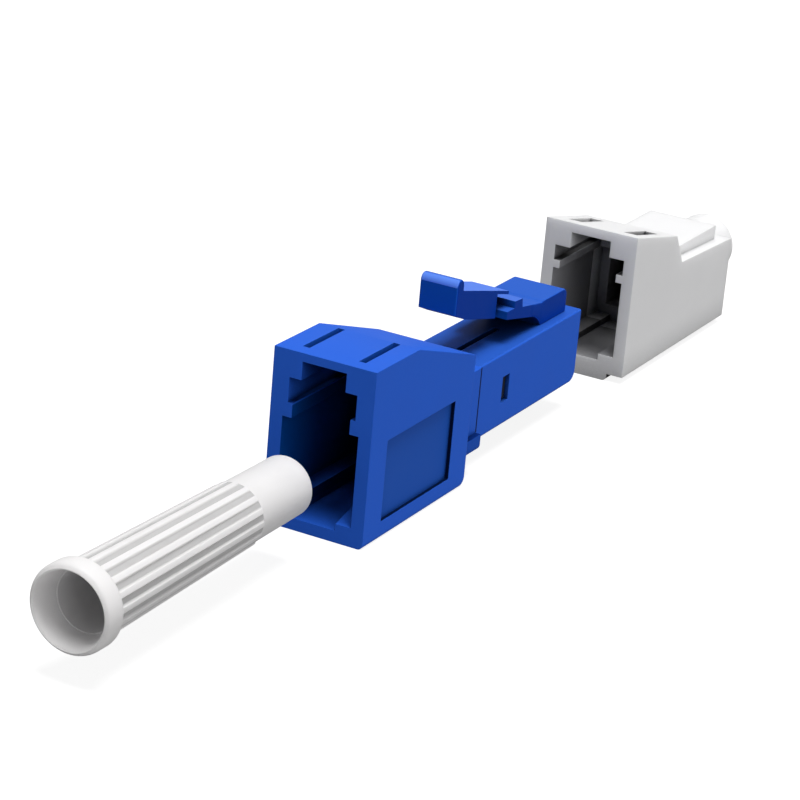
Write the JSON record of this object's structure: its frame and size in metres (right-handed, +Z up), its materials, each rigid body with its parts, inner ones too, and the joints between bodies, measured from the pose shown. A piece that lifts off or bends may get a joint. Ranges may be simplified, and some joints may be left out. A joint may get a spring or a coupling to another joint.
{
  "type": "fibre optic attenuator",
  "caption": "Plug-in fibre optic attenuator with a stepped socket at one end, a latched 1.25 mm ferrule plug at the other, and a pull-off dust cover drawn off each end",
  "frame": {"origin": "middle of the socket housing's flat bottom face", "axes": "+Y along the fibre from the socket to the plug's tip, +Z up with the latch on top, +X to the right seen from the socket"},
  "size_m": [0.006, 0.0736, 0.0113],
  "materials": {
    "blue_plastic": "moulded, satin",
    "dark_plastic": "moulded, matt",
    "zirconia": "polished",
    "fibre_glass": "polished",
    "collar_steel": "turned",
    "spring_steel": "drawn wire",
    "white_plastic": "moulded, soft satin",
    "cap_plastic": "moulded, soft satin"
  },
  "bodies": {
    "attenuator": {"socket_housing": "blue_plastic", "plug_housing": "blue_plastic", "inner_body": "dark_plastic", "split_sleeve": "zirconia", "ferrule_spring": "spring_steel"},
    "latch": {"latch_lever": "blue_plastic"},
    "floating_ferrule": {"ferrule": "zirconia", "doped_fibre": "fibre_glass", "ferrule_collar": "collar_steel"},
    "plug_cover": {"dust_plug": "white_plastic"},
    "cap_cover": {"dust_cap": "cap_plastic"}
  },
  "joints": [
    {"name": "latch_press", "type": "hinge", "parent": "attenuator", "child": "latch", "pos_m": [0, 0.01655, 0.00713], "axis": [1, 0, 0], "range_deg": [0, 10], "stiffness_Nm_per_rad": 0.1},
    {"name": "ferrule_float", "type": "slide", "parent": "attenuator", "child": "floating_ferrule", "axis": [0, 1, 0], "range_m": [-0.0008, 0], "stiffness_N_per_m": 2000, "deforming": ["ferrule_spring"]},
    {"name": "dust_plug_slide", "type": "slide", "parent": "attenuator", "child": "plug_cover", "axis": [0, -1, 0], "range_m": [-0.0125, 0.015]},
    {"name": "dust_cap_slide", "type": "slide", "parent": "attenuator", "child": "cap_cover", "axis": [0, 1, 0], "range_m": [-0.0109, 0.015]}
  ]
}
